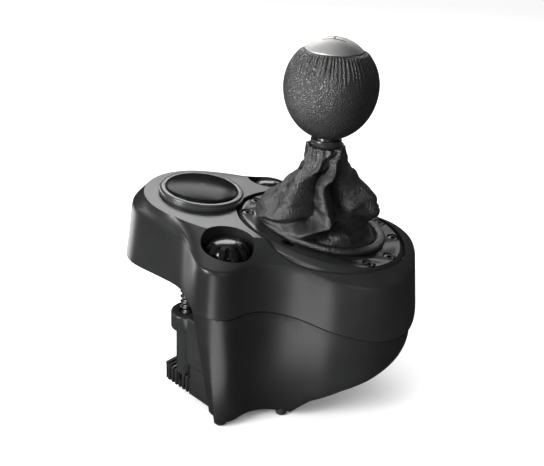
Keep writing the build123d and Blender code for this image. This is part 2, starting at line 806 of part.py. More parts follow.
# A spur gear face with straight-sided teeth narrower than their spaces.
def gear_face(radius, teeth, turned):
    points = []
    for tooth in range(teeth):
        middle = math.tau * (tooth + turned) / teeth
        for share, reach in ((-tooth_share, -tooth_dedendum), (-tip_share, tooth_addendum),
                             (tip_share, tooth_addendum), (tooth_share, -tooth_dedendum)):
            angle = middle + math.pi / teeth * share
            points.append(((radius + reach) * math.cos(angle), (radius + reach) * math.sin(angle)))
    return make_face(Polyline(*points, close=True))


# The pitch radius of a wheel in the train from the knob to the clamp screw.
def pitch_radius(teeth):
    span = math.hypot(screw_x - knob_x, screw_y - knob_y)
    return span * teeth / (knob_gear_teeth + 2 * idler_teeth + screw_gear_teeth)


def train_angle(side):
    return math.atan2(screw_y - knob_y, side * (screw_x - knob_x))


def gear_wheel(teeth, angle, shift):
    turned = angle / math.tau * teeth + shift
    return extrude(gear_face(pitch_radius(teeth), teeth, turned), gear_thickness)


def knob_gear(side):
    wheel = Pos(side * knob_x, knob_y, gear_bottom) * gear_wheel(knob_gear_teeth, train_angle(side), 0)
    top = knob_bottom + knob_height / 2
    return wheel + cylinder(knob_shaft_radius, top - gear_bottom, side * knob_x, knob_y, gear_bottom)


def idler_centre(side):
    reach = pitch_radius(knob_gear_teeth) + pitch_radius(idler_teeth)
    angle = train_angle(side)
    return side * knob_x + reach * math.cos(angle), knob_y + reach * math.sin(angle)


def idler_gear(side):
    x, y = idler_centre(side)
    wheel = Pos(x, y, gear_bottom) * gear_wheel(idler_teeth, train_angle(side) + math.pi, 1 / 2)
    return wheel - cylinder(idler_pin_radius + running_gap, 2 * gear_thickness, x, y,
                            gear_bottom - fit_gap)


def idler_pin(side):
    x, y = idler_centre(side)
    low = lobe_underside
    pin = cylinder(idler_pin_radius, gear_bottom + gear_thickness + fit_gap - low, x, y, low)
    return pin + cylinder(2 * idler_pin_radius, gear_bottom - fit_gap - low - floor_sheet, x, y,
                          low + floor_sheet)


def screw_gear(side):
    wheel = Pos(side * screw_x, screw_y, gear_bottom) * gear_wheel(
        screw_gear_teeth, train_angle(side) + math.pi, 0)
    return wheel - cylinder(journal_radius, 2 * gear_thickness, side * screw_x, screw_y,
                            gear_bottom - fit_gap)


def clamp_knob(side):
    straight = knob_height - knob_crown
    sphere = (knob_radius ** 2 + knob_crown ** 2) / (2 * knob_crown)
    half = straight + math.sqrt(sphere ** 2 - knob_radius ** 2 / 4) - sphere + knob_crown
    profile = make_face([Polyline((0, 0), (knob_radius, 0), (knob_radius, straight)),
                         ThreePointArc((knob_radius, straight), (knob_radius / 2, half),
                                       (0, knob_height)),
                         Line((0, knob_height), (0, 0))])
    body = revolve(Plane.XZ * profile, Axis.Z)
    for notch in range(knob_notches):
        turn = 360 / knob_notches * notch
        arch = Pos(knob_radius, 0, knob_height * notch_share) * Rot(0, 90, 0) * Cylinder(
            notch_radius, knob_radius * notch_depth_share)
        leg = Pos(knob_radius, 0, 0) * Box(knob_radius * notch_depth_share, 2 * notch_radius, knob_height * notch_share,
                                           align=(Align.CENTER, Align.CENTER, Align.MIN))
        body -= Rot(0, 0, turn) * (arch + leg)
    body = Pos(side * knob_x, knob_y, knob_bottom) * body
    return body - cylinder(knob_shaft_radius, knob_height / 2, side * knob_x, knob_y, knob_bottom)


def save(shape, name):
    export_step(Pos(0, -origin_ahead, 0) * shape, "parts/" + name + ".step")


def build():
    os.makedirs("parts", exist_ok=True)
    singles = [top_cover, bottom_cover, lobe_floor, emblem_ring, emblem_dome, boot_plate,
               plate_screws, boot_hem, leather_boot, lever_shaft, knob_insert, knob_core,
               knob_leather, knob_cap, knob_collar, gimbal_ring, gimbal_trunnions,
               lever_carrier, side_sensor, fore_aft_sensor, reverse_spring, chassis,
               gimbal_bushes, gate_plate, chassis_screws, circuit_board, cable_socket,
               rig_inserts, feet]
    for make in singles:
        save(make(), make.__name__)
    for side, name in ((-1, "left"), (1, "right")):
        for make in (clamp_jaw, jaw_nut, clamp_adapter, clamp_screw, screw_bush, knob_gear,
                     idler_gear, idler_pin, screw_gear, clamp_knob):
            save(make(side), make.__name__ + "_" + name)


build()
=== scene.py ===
# %% [markdown]
# # Sim racing gear shifter: looks
#
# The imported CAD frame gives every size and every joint. This script keeps that
# frame, gives it finishes, and draws anew the soft and finely cut pieces that
# plain solids can't show. Each cell makes one thing and prints what it made.

# %% Load the frame
import json
import math

import bmesh
import bpy
from mathutils import Matrix, Vector, noise


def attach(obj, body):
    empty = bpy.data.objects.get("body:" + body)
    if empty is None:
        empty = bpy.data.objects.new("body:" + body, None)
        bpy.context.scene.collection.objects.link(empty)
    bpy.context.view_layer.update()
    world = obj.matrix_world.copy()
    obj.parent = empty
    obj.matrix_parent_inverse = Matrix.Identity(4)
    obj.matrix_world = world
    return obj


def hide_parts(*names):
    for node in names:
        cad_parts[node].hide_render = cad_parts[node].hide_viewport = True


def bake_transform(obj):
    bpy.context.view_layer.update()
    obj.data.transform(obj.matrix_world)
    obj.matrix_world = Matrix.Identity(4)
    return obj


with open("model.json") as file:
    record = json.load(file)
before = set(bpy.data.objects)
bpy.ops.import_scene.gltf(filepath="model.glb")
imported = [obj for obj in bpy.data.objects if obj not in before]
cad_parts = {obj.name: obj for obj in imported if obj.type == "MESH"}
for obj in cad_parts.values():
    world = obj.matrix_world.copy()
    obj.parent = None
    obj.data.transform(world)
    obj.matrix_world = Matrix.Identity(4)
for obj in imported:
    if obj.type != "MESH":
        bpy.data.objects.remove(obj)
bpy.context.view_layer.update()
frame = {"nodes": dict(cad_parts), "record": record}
MM = 0.001
# New pieces are drawn in millimetres from a point near the lever. It lies this
# many metres behind the frame's origin, and the lever a millimetre behind it.
ORIGIN_AHEAD = 0.0256
LEVER_Y = -1.0
LEVER_IN_FRAME = LEVER_Y * MM - ORIGIN_AHEAD
print("nodes", len(frame["nodes"]))

# %% [markdown]
# ## Camera
#
# The camera stands to the driver's left and looks down a little. It could be
# placed by eye. Instead its three angles, its place and its lens were fitted
# until the outline of the model lay on the outline in the photograph.

# %% Camera
# Angles in radians, lengths in metres.
heading = 0.209
pitch = 0.444
roll = 0.060
eye = Vector((-0.363, -0.0515 - ORIGIN_AHEAD, 0.2726))
forward = Vector((math.cos(heading) * math.cos(pitch), math.sin(heading) * math.cos(pitch),
                  -math.sin(pitch)))
level_right = Vector((math.sin(heading), -math.cos(heading), 0))
level_up = level_right.cross(forward)
right = level_right * math.cos(roll) + level_up * math.sin(roll)
up = level_up * math.cos(roll) - level_right * math.sin(roll)
camera_data = bpy.data.cameras.new("camera")
camera_data.sensor_fit = "HORIZONTAL"
camera_data.sensor_width = 36.0
camera_data.lens = 47.25
camera_data.clip_start = 0.01
camera = bpy.data.objects.new("camera", camera_data)
bpy.context.scene.collection.objects.link(camera)
camera.matrix_world = Matrix.Translation(eye) @ Matrix((right, up, -forward)).transposed().to_4x4()
bpy.context.scene.camera = camera
bpy.context.scene.view_settings.view_transform = "Standard"
print("camera at", tuple(round(v, 3) for v in eye))

# %% [markdown]
# ## Shader kit
#
# A finish is a small network of nodes. Wiring each node by hand is long and
# hard to read, so a value wraps one socket and lets shader maths be written as
# sums and products. Every node of a finish comes from one method.


# %% Values
class Value:
    def __init__(self, shader, socket):
        self.shader = shader
        self.socket = socket

    def maths(self, operation, first, second):
        return self.shader.node("ShaderNodeMath", {"operation": operation}, {0: first, 1: second})

    def __add__(self, other):
        return self.maths("ADD", self, other)

    def __radd__(self, other):
        return self.maths("ADD", other, self)

    def __sub__(self, other):
        return self.maths("SUBTRACT", self, other)

    def __rsub__(self, other):
        return self.maths("SUBTRACT", other, self)

    def __mul__(self, other):
        return self.maths("MULTIPLY", self, other)

    def __rmul__(self, other):
        return self.maths("MULTIPLY", other, self)

    def __abs__(self):
        return self.maths("ABSOLUTE", self, 0.0)

    def below(self, limit):
        return self.maths("LESS_THAN", self, limit)

    def larger(self, other):
        return self.maths("MAXIMUM", self, other)

    def smaller(self, other):
        return self.maths("MINIMUM", self, other)


# %% [markdown]
# A shader holds one material. Its patterns are placed by Object coordinates, so
# they stay on the piece when a joint moves it. Sizes of patterns are in metres.


# %% Shader
class Shader:
    def __init__(self, name, **constants):
        self.material = bpy.data.materials.new(name)
        self.material.use_nodes = True
        self.tree = self.material.node_tree
        self.surface = self.tree.nodes["Principled BSDF"]
        for key, value in constants.items():
            self.surface.inputs[key.replace("_", " ")].default_value = value
        self.place = self.node("ShaderNodeTexCoord", output="Object")

    def node(self, kind, settings=None, inputs=None, output=0):
        made = self.tree.nodes.new(kind)
        for key, value in (settings or {}).items():
            setattr(made, key, value)
        for key, value in (inputs or {}).items():
            self.put(made.inputs[key], value)
        return Value(self, made.outputs[output])

    def put(self, socket, value):
        if isinstance(value, Value):
            self.tree.links.new(value.socket, socket)
        else:
            socket.default_value = value

    def feed(self, name, value):
        self.put(self.surface.inputs[name], value)

    def show(self, value):
        self.put(self.tree.nodes["Material Output"].inputs["Surface"], value)

    def noise(self, size, detail=3.0, output="Fac", place=None):
        return self.node("ShaderNodeTexNoise", {}, {"Vector": place or self.place, "Scale": 1 / size,
                                                    "Detail": detail}, output)

    def cells(self, size, feature="F1", place=None):
        return self.node("ShaderNodeTexVoronoi", {"feature": feature},
                         {"Vector": place or self.place, "Scale": 1 / size}, "Distance")

    def spread(self, value, low, high, start, end):
        return self.node("ShaderNodeMapRange", {}, {"Value": value, "From Min": low, "From Max": high,
                                                    "To Min": start, "To Max": end}, "Result")

    # A noise texture stays mostly between 0.3 and 0.7, so that part is spread.
    def cloudy(self, value, start=0, end=1):
        return self.spread(value, 0.3, 0.7, start, end)

    def blend(self, factor, first, second):
        return self.node("ShaderNodeMix", {"data_type": "RGBA"}, {0: factor, 6: first, 7: second}, 2)

    def glow(self, level, strength):
        return self.node("ShaderNodeEmission", {}, {"Color": grey(level), "Strength": strength})

    def relief(self, height, depth, strength):
        return self.node("ShaderNodeBump", {}, {"Height": height, "Distance": depth,
                                                "Strength": strength}, "Normal")

    def stretched(self, x, y, z):
        return self.node("ShaderNodeVectorMath", {"operation": "MULTIPLY"},
                         {0: self.place, 1: (x, y, z)}, "Vector")

    def axes(self):
        split = self.node("ShaderNodeSeparateXYZ", {}, {0: self.place})
        return [Value(self, socket) for socket in split.socket.node.outputs]


def grey(level, warm=0.0):
    return (level * (1 + warm), level, level * (1 - warm), 1)


print("shader kit ready")

# %% [markdown]
# ## The seam between the covers
#
# The two covers meet at a seam that runs level round the front and falls towards
# the tail. A groove could be cut into both meshes, but their solids touch there.
# So the shade down in the seam is painted: a thin dull line in the finish, by a
# mask that is one near the height of the seam, worked out from the place on the cover.

# %% Seam between the covers
# In metres: its height, where it starts to slope, how steeply, and half its width.
SEAM = {"level": 0.0763, "root": 0.038, "slope": 0.1589, "half": 0.00055}


# Painted shade: one along the seam, where the covers part and shade falls.
def seam_shade_mask(shader):
    y, z = shader.axes()[1:]
    behind = (y + ORIGIN_AHEAD - SEAM["root"]).smaller(0.0)
    return abs(z - SEAM["level"] - behind * SEAM["slope"]).below(SEAM["half"])


print("seam is", SEAM["half"] * 2, "m wide")

# %% [markdown]
# ## Moulded plastics
#
# The covers, the plate and the jaws are black plastic from a mould with a very
# fine sparked grain. The grain is far too small to model, so it is a bump. A
# slow noise changes the colour and the sheen a little, as handling does. Without
# it a large black wall looks drawn.


# %% Moulded plastic
def moulded(name, dark, light, rough, grain=0.00045, depth=0.00002, seam=False):
    shader = Shader(name, IOR=1.5)
    patches = shader.noise(0.03, 2.0)
    fine = shader.noise(grain, 2.0)
    colour = shader.blend(shader.cloudy(patches), grey(dark, -0.02), grey(light, -0.02))
    sheen = shader.spread(patches + fine * 0.4, 0.3, 1.1, rough - 0.04, rough + 0.06)
    if seam:
        # Painted shade: the seam is painted near black and made fully rough.
        painted_seam_shade = seam_shade_mask(shader)
        colour = shader.blend(painted_seam_shade, colour, grey(0.0005))
        sheen = sheen.larger(painted_seam_shade)
    shader.feed("Base Color", colour)
    shader.feed("Roughness", sheen)
    shader.feed("Normal", shader.relief(fine, depth, 0.6))
    return shader.material


shell_plastic = moulded("shell_plastic", 0.009, 0.013, 0.34, seam=True)
hull_plastic = moulded("hull_plastic", 0.008, 0.011, 0.36, seam=True)
plate_plastic = moulded("plate_plastic", 0.011, 0.015, 0.32)
ring_plastic = moulded("ring_plastic", 0.022, 0.028, 0.26, 0.0006)
arm_plastic = moulded("arm_plastic", 0.014, 0.020, 0.24, 0.0008, 0.00001)
jaw_plastic = moulded("jaw_plastic", 0.010, 0.014, 0.36)
gear_plastic = moulded("gear_plastic", 0.62, 0.70, 0.42, 0.001)
print("moulded plastics made")

# %% [markdown]
# ## Gloss plastic and the dome
#
# The clamp knobs are polished plastic. A thin clear coat gives them a second,
# sharper highlight, and finger smears break it. The dome on the round head is a
# dark window, and a low IOR keeps it from turning pale under the large lamps.


# %% Gloss plastic and dome
def glossy(name, level, rough):
    shader = Shader(name, IOR=1.28, Coat_Roughness=0.1)
    smears = shader.noise(0.012, 4.0)
    shader.feed("Base Color", shader.blend(smears, grey(level), grey(level * 1.5)))
    shader.feed("Roughness", shader.spread(smears, 0.3, 0.75, rough, rough + 0.07))
    shader.feed("Coat Weight", shader.cloudy(smears, 0.12, 0.05))
    shader.feed("Normal", shader.relief(shader.noise(0.006, 1.0), 0.00002, 0.3))
    return shader.material


def dark_glass(name, level, rough):
    shader = Shader(name, IOR=1.12)
    smears = shader.noise(0.02, 3.0)
    shader.feed("Base Color", shader.blend(smears, grey(level), grey(level * 1.6)))
    shader.feed("Roughness", shader.spread(smears, 0.3, 0.75, rough, rough + 0.06))
    return shader.material


gloss_plastic = glossy("gloss_plastic", 0.004, 0.13)
dome_glass = dark_glass("dome_glass", 0.003, 0.16)
print("gloss plastic and dome made")

# %% [markdown]
# ## Leather
#
# Real grain is a net of creases round small pebbles. An image of leather would
# need a UV map, and a plain noise has no creases. The distance to the edge of a
# cell texture gives both crease and pebble, so two sizes of it are added, and
# their coordinates are bent a little so that no cell looks straight. Wear makes
# the high spots smoother.


# %% Leather
def leather_finish(name, level, pebble):
    shader = Shader(name, IOR=1.9)
    warp = shader.noise(0.004, 2.0, "Color")
    bent = shader.node("ShaderNodeVectorMath", {"operation": "MULTIPLY_ADD"},
                       {0: warp, 1: (0.0012, 0.0012, 0.0012), 2: shader.place}, "Vector")
    net = shader.cells(pebble, "DISTANCE_TO_EDGE", bent)
    small = shader.cells(pebble * 0.45, "DISTANCE_TO_EDGE", bent)
    height = shader.spread(net, 0.0, 0.30, 0, 1) + shader.spread(small, 0.0, 0.2, 0, 1) * 0.35
    tone = shader.noise(0.018, 3.0)
    shader.feed("Base Color", shader.blend(shader.cloudy(tone), grey(level, 0.02),
                                           grey(level * 1.5, 0.02)))
    shader.feed("Roughness", shader.spread(height + tone * 0.6, 0.2, 1.8, 0.43, 0.31))
    shader.feed("Normal", shader.relief(height, 0.00026, 0.8))
    return shader.material


PEBBLE = 0.0013
leather = leather_finish("leather", 0.006, PEBBLE)
boot_leather = leather_finish("boot_leather", 0.005, PEBBLE)
print("leather with pebbles of", PEBBLE, "m")

# %% [markdown]
# ## Rubber
#
# The feet are soft rubber. It is nearly matt and holds a little dust, so one
# fine noise drives its colour, its roughness and its bump together.

# %% Rubber
rubber_shader = Shader("rubber", IOR=1.45)
dust = rubber_shader.noise(0.002, 4.0)
rubber_shader.feed("Base Color", rubber_shader.blend(dust, grey(0.010), grey(0.022)))
rubber_shader.feed("Roughness", rubber_shader.cloudy(dust, 0.72, 0.86))
rubber_shader.feed("Normal", rubber_shader.relief(dust, 0.00004, 0.5))
rubber = rubber_shader.material
print("rubber made")

# %% [markdown]
# ## Turned metal and zinc
#
# A turned rod has fine rings round its axis, so a noise is squeezed along Z.
# Sheet steel is coated with zinc, whose soft crystals a cell texture gives. Both
# are fully metallic, where the base colour is the colour of the mirror.


# %% Turned metal and zinc
def turned_metal(name, level, rough, tint=(1.0, 1.0, 1.0)):
    shader = Shader(name, Metallic=1.0)
    rings = shader.noise(0.0004, 1.0, place=shader.stretched(0.2, 0.2, 3.0))
    tone = shader.noise(0.01, 3.0)
    low = tuple(level * part for part in tint) + (1,)
    high = tuple(min(1.0, level * part * 1.12) for part in tint) + (1,)
    shader.feed("Base Color", shader.blend(tone, low, high))
    shader.feed("Roughness", shader.cloudy(rings, rough - 0.05, rough + 0.08))
    shader.feed("Normal", shader.relief(rings, 0.00001, 0.4))
    return shader.material


def zinc(name):
    shader = Shader(name, Metallic=1.0)
    spangle = shader.cells(0.004)
    shader.feed("Base Color", shader.blend(shader.spread(spangle, 0.0, 0.8, 0, 1), grey(0.42),
                                           grey(0.55)))
    shader.feed("Roughness", shader.spread(spangle, 0.0, 0.8, 0.26, 0.42))
    shader.feed("Normal", shader.relief(shader.noise(0.0008, 2.0), 0.00001, 0.4))
    return shader.material


BRASS_TINT = (0.95, 0.72, 0.36)
steel = zinc("steel")
brass = turned_metal("brass", 0.75, 0.25, BRASS_TINT)
thread_steel = turned_metal("thread_steel", 0.05, 0.32)
dark_steel = turned_metal("dark_steel", 0.06, 0.28)
print("metals made")

# %% [markdown]
# ## Cap metal
#
# The cap on the ball is brushed metal with plain lanes cut into it: three along
# the shift directions and one across. They are less than a millimetre wide, so
# they aren't modelled. A mask is worked out from the place on the cap, and it
# darkens the lanes and presses them in.

# %% Cap metal
# In metres: the outer lanes' place, half the length of a lane, and half its width.
LANES = {"apart": 0.0045, "reach": 0.006, "half": 0.00045}


def cap_finish(name):
    shader = Shader(name, Metallic=1.0)
    x, y = shader.axes()[:2]
    along = abs(y - LEVER_IN_FRAME)
    lanes = abs(abs(x) - LANES["apart"]).below(LANES["half"]) + abs(x).below(LANES["half"])
    lanes = lanes * along.below(LANES["reach"])
    cross = along.below(LANES["half"]) * abs(x).below(LANES["apart"] + LANES["half"])
    whole = (lanes + cross).below(0.5)
    brushed = shader.noise(0.0007, 2.0, place=shader.stretched(1.0, 1.0, 0.1))
    shader.feed("Base Color", shader.blend(whole, grey(0.05), grey(0.56, 0.01)))
    shader.feed("Roughness", shader.spread(brushed + whole * -0.3, 0.0, 0.7, 0.62, 0.50))
    shader.feed("Normal", shader.relief(whole + brushed * 0.03, 0.0002, 0.7))
    return shader.material


satin_metal = cap_finish("satin_metal")
print("cap metal made")

# %% [markdown]
# ## Circuit board
#
# The board under the deck is green, with raised copper tracks under its lacquer.
# It is hidden under the deck, so the edges of large cells are enough for tracks.

# %% Circuit board
board_shader = Shader("board", IOR=1.5)
tracks = board_shader.cells(0.0025, "DISTANCE_TO_EDGE").below(0.06)
board_shader.feed("Base Color", board_shader.blend(tracks, (0.01, 0.09, 0.035, 1), (0.02, 0.16, 0.06, 1)))
board_shader.feed("Roughness", board_shader.cloudy(board_shader.noise(0.003), 0.3, 0.45))
board_shader.feed("Normal", board_shader.relief(tracks, 0.00003, 0.5))
board = board_shader.material
print("board made")

# %% [markdown]
# ## Materials for the pieces carried over from the frame
#
# Every node of the frame could keep the plain colour that it came with. Instead
# each gets the finish of its slot in the record, so the pieces that come into
# view when a joint moves look real too. The nuts in the jaws are dark steel.

# %% Node materials
by_slot = {
    "shell_plastic": shell_plastic, "plate_plastic": plate_plastic, "ring_plastic": ring_plastic,
    "gloss_plastic": gloss_plastic, "leather": leather, "satin_metal": satin_metal, "steel": steel,
    "brass": brass, "gear_plastic": gear_plastic, "rubber": rubber, "board": board,
}
for part in frame["record"]["subparts"]:
    node = frame["nodes"][part["node"]]
    node.data.materials.clear()
    node.data.materials.append(by_slot[part["material_slot"]])
for side in ("left", "right"):
    frame["nodes"]["jaw_nut_" + side].data.materials[0] = dark_steel

# %% [markdown]
# ## Dressed copies
#
# Moulded parts have no knife edges: every edge has a small round that catches a
# thin line of light. The frame's own meshes stay as they are, so a copy of each
# visible part is merged, cleaned of flat triangles and bevelled. A bevel in the
# mesh was chosen over a bevel in the shader.


# %% New piece
# An edge that bends less than crisp degrees is shaded smooth.
def new_piece(name, bm, material, body=None, crisp=30):
    limit = math.radians(crisp)
    for face in bm.faces:
        face.smooth = True
    for edge in bm.edges:
        edge.smooth = len(edge.link_faces) != 2 or edge.calc_face_angle(0.0) < limit
    mesh = bpy.data.meshes.new(name)
    bm.to_mesh(mesh)
    bm.free()
    mesh.materials.append(material)
    piece = bpy.data.objects.new(name, mesh)
    bpy.context.scene.collection.objects.link(piece)
    if body:
        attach(piece, body)
    return piece


# %% [markdown]
# A copy of a node keeps its place in metres, as the frame's own vertices do.

# %% Dressing
# Points within this many metres are one point, and faces that meet at less than
# this angle are one flat face.
TOUCH = 1e-6
FLAT = math.radians(0.4)


def node_copy(node):
    bm = bmesh.new()
    bm.from_mesh(frame["nodes"][node].data)
    bmesh.ops.remove_doubles(bm, verts=bm.verts, dist=TOUCH)
    return bm


def dressed(node, body, material, width=0.0004, crisp=28):
    bm = node_copy(node)
    bmesh.ops.dissolve_limit(bm, angle_limit=FLAT, verts=bm.verts, edges=bm.edges)
    sharp = [edge for edge in bm.edges if len(edge.link_faces) == 2
             and edge.calc_face_angle(0.0) > math.radians(crisp)]
    bmesh.ops.bevel(bm, geom=sharp, offset=width, segments=2, profile=0.5, affect="EDGES",
                    material=-1, clamp_overlap=True)
    piece = new_piece(node + "_look", bm, material, body, crisp)
    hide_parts(node)
    print(node, len(piece.data.polygons))


dressed("top_cover", "base", shell_plastic, 0.0007, 14)
dressed("bottom_cover", "base", hull_plastic, 0.0004, 25)
dressed("boot_plate", "base", plate_plastic, 0.0004)
dressed("emblem_ring", "base", ring_plastic, 0.0003)
dressed("emblem_dome", "base", dome_glass, 0.0006)
dressed("knob_collar", "lever", arm_plastic, 0.0005)
for side in ("left", "right"):
    dressed("clamp_jaw_" + side, "clamp_" + side, jaw_plastic, 0.0004)
    dressed("clamp_adapter_" + side, "clamp_" + side, arm_plastic, 0.0006)

# %% [markdown]
# ## Sheets wrapped round the lever
#
# The boot, the hem and the grip's skin are sheets of leather closed round the
# lever. They could be sculpted, or draped by a cloth simulation, but neither
# gives the folds of the photograph each time. So a flat grid is wrapped into a
# tube, and a rule says where each of its points lies: the turn round the lever
# and the row say which point it is.


# %% Wrapping tools
# Moves a piece drawn in millimetres into the frame and turns its faces outwards.
def into_frame(bm, place=Matrix.Identity(4)):
    whole = Matrix.Translation((0, -ORIGIN_AHEAD, 0)) @ Matrix.Scale(MM, 4) @ place
    bmesh.ops.transform(bm, matrix=whole, verts=bm.verts)
    bmesh.ops.remove_doubles(bm, verts=bm.verts, dist=TOUCH)
    bmesh.ops.recalc_face_normals(bm, faces=bm.faces)
    return bm


def wrapped(point_at, columns, rows):
    bm = bmesh.new()
    bmesh.ops.create_grid(bm, x_segments=columns, y_segments=rows, size=0.5)
    for vertex in bm.verts:
        column = round((vertex.co.x + 0.5) * columns) % columns
        row = round((vertex.co.y + 0.5) * rows)
        vertex.co = point_at(math.tau * column / columns, row)
    return into_frame(bm)


def smooth_step(value, low, high):
    share = min(1.0, max(0.0, (value - low) / (high - low)))
    return share * share * (3 - 2 * share)


# A value read from a table of stops, eased from each stop to the next.
def read_stops(stops, rise):
    for (low, first), (high, second) in zip(stops, stops[1:]):
        if rise <= high:
            return first + (second - first) * smooth_step(rise, low, high)
    return stops[-1][1]


print("half way up a step", smooth_step(0.5, 0, 1))

# %% [markdown]
# ## The boot
#
# The boot is thin leather that is sewn to a hem below and tied to the lever
# above. Since it is cut larger than it needs to be, it hangs in pointed folds.
# First come its sizes: the hem, the sloping plate under it, and how far the
# leather reaches from the lever at each height, to the front, back and sides.

# %% Boot sizes
# In millimetres. The hem's outline is longer to the front than to the back.
HEM = {"half_width": 31.5, "front": 41.0, "back": 33.5, "centre": -5.0, "width": 5.0, "height": 3.6}
PLATE = {"seat": 102.0, "slope": 0.15, "thickness": 3.4}
BOOT_TOP = 153.0
# How far inside the hem the boot starts, and its least reach from the lever.
HEM_TUCK = 0.6
CLOSEST = 9.2
# Stops of height share and reach.
FRONT = [(0, 31.4), (.06, 34.0), (.2, 33.0), (.37, 26.0), (.51, 18.5), (.65, 13.6), (.76, 11.6), (1, 10.6)]
BACK = [(0, 31.9), (.12, 26.5), (.24, 23.5), (.36, 26.5), (.5, 23.5), (.7, 18.5), (.87, 12.8), (1, 10.6)]
SIDES = [(0, 25.9), (.08, 27.5), (.25, 25.0), (.4, 21.5), (.55, 17.5), (.7, 14.2), (.85, 11.8), (1, 10.6)]
plate_frame = (Matrix.Translation((0, 0, PLATE["seat"]))
               @ Matrix.Rotation(math.atan(PLATE["slope"]), 4, "X"))
print("boot from", PLATE["seat"], "to", BOOT_TOP, "mm")

# %% [markdown]
# Each fold is a ridge or a valley that runs from the hem to the lever. The main
# fold doesn't run straight: it winds down from the back of the lever to its left
# side, with a deep valley on each hand. The others fan out round the boot. The
# sum of all of them pushes the leather out or in.


# %% Folds
# A fold's angles in degrees at the hem and at the lever, its width in degrees,
# its reach in millimetres, and the height shares between which it stands out.
FOLDS = [(150, 138, 20, 5.0, .10, .80), (122, 128, 24, 2.5, .02, .40), (268, 258, 14, 7.5, .20, .66),
         (300, 290, 16, -5.0, .15, .80), (335, 330, 22, 4.5, .10, .75), (8, 8, 16, -4.5, .15, .85),
         (48, 45, 20, 4.5, .10, .80), (84, 88, 12, -2.5, .30, .80)]
# Stops of height share and angle for the main fold, then the ridges and valleys
# that wind with it: degrees beside it, a width and a reach.
WINDING = [(0, 160), (.12, 172), (.30, 199), (.62, 189), (.85, 214), (1, 236)]
BESIDE = [(0, 11, 7.5), (26, 15, -8.0), (-24, 13, -6.5), (-48, 13, 3.5)]


# One on the line of a fold, and nearly nothing two widths away from it.
def crest(turn, middle, width):
    away = math.atan2(math.sin(turn - middle), math.cos(turn - middle)) / math.radians(width)
    return 1 / (1 + away * away) ** 2


def fold_push(turn, rise):
    push = 0.0
    for at_hem, at_lever, width, reach, low, high in FOLDS:
        middle = math.radians(at_hem + (at_lever - at_hem) * rise)
        stand = smooth_step(rise, low - .12, low + .14) * (1 - smooth_step(rise, high - .2, high + .16))
        push += reach * stand * crest(turn, middle, width)
    for beside, width, reach in BESIDE:
        middle = math.radians(read_stops(WINDING, rise) + beside * (1 - 0.35 * rise))
        stand = smooth_step(rise, 0.02, 0.16) * (1 - smooth_step(rise, 0.72, 1.0) * 0.8)
        push += reach * stand * crest(turn, middle, width)
    return push


print("push on the main fold", round(fold_push(math.radians(199), 0.3), 2), "mm")

# %% [markdown]
# Between the folds the leather crumples. Noise that is folded at zero makes
# sharp creases, where plain noise would make soft hills. Near the lever the
# leather is drawn together into small pleats, and just above the hem its slack
# rolls outwards.

# %% Boot points
# How fine the two noises are per millimetre, how deep the creases go in
# millimetres, and how far the leather sinks in between.
CREASE = {"coarse": 0.10, "fine": 0.24, "depth": 3.0, "sink": 1.6}
BOOT_HEIGHT = 48
LEVER_PLEATS = 12
# The roll of slack: its reach in millimetres, and its place, sway and spread as
# shares of the height.
SLACK = {"reach": 1.4, "at": 0.10, "sway": 0.03, "spread": 0.05}


def along_hem(turn, inward):
    length = HEM["front"] if math.sin(turn) >= 0 else HEM["back"]
    return ((HEM["half_width"] - inward) * math.cos(turn),
            HEM["centre"] + (length - inward) * math.sin(turn))


def creases(turn, rise, reach):
    spot = Vector((reach * math.cos(turn), reach * math.sin(turn), rise * BOOT_HEIGHT))
    coarse = 0.5 - abs(noise.noise(spot * CREASE["coarse"]))
    fine = 0.4 - abs(noise.noise(spot * CREASE["fine"]))
    free = 0.25 + 0.75 * math.sin(math.pi * min(1, rise * 1.05)) if rise < .95 else .2
    pleats = math.cos(turn * LEVER_PLEATS + 2 * math.sin(turn * 2)) * smooth_step(rise, .55, .9) * 0.5
    rolled = (rise - SLACK["at"] - SLACK["sway"] * math.sin(2 * turn)) / SLACK["spread"]
    slack = SLACK["reach"] * math.exp(-rolled ** 2)
    return (coarse * CREASE["depth"] + fine - CREASE["sink"]) * free + pleats + slack


def boot_point(turn, rise):
    hem_x, hem_y = along_hem(turn, HEM["width"] + HEM_TUCK)
    ahead = read_stops(FRONT if math.sin(turn) >= 0 else BACK, rise)
    reach = read_stops(SIDES, rise) * math.cos(turn) ** 2 + ahead * math.sin(turn) ** 2
    reach = max(CLOSEST, reach + fold_push(turn, rise) + creases(turn, rise, reach))
    join = smooth_step(rise, 0, .07)
    place_x = hem_x + (reach * math.cos(turn) - hem_x) * join
    place_y = hem_y + (LEVER_Y + reach * math.sin(turn) - hem_y) * join
    base = PLATE["seat"] + PLATE["thickness"] * math.hypot(1, PLATE["slope"]) + PLATE["slope"] * place_y
    return Vector((place_x, place_y, base + (BOOT_TOP - base) * rise))


print("boot at the driver's side", tuple(round(v, 1) for v in boot_point(math.pi, 0.3)))

# %% [markdown]
# The boot crosses three joints: it stands on the plate, and the gimbal ring, the
# carrier and the lever move one after the other. A piece can bend across one
# joint only. The boot is made of three bands, which meet along shared lines. A
# Solidify modifier gives the leather its thickness: inwards on the top and
# bottom bands, outwards on the middle one, which so laps over both. The top band
# is turned in against the lever.

# %% Boot bands
BOOT_WALL = 0.0008
INWARDS = -1
OUTWARDS = 1
# The turned-in edge: millimetres up, and the share of the reach that is kept.
TURNED_IN = [(0.1, 0.93), (-0.3, 0.86), (-1.5, 0.84)]


def turned_in(point, fold):
    up, keep = TURNED_IN[fold]
    return Vector((point.x * keep, LEVER_Y + (point.y - LEVER_Y) * keep, point.z + up))


# The piece's place is baked into its mesh.
def bend_along_lever(piece):
    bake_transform(piece)


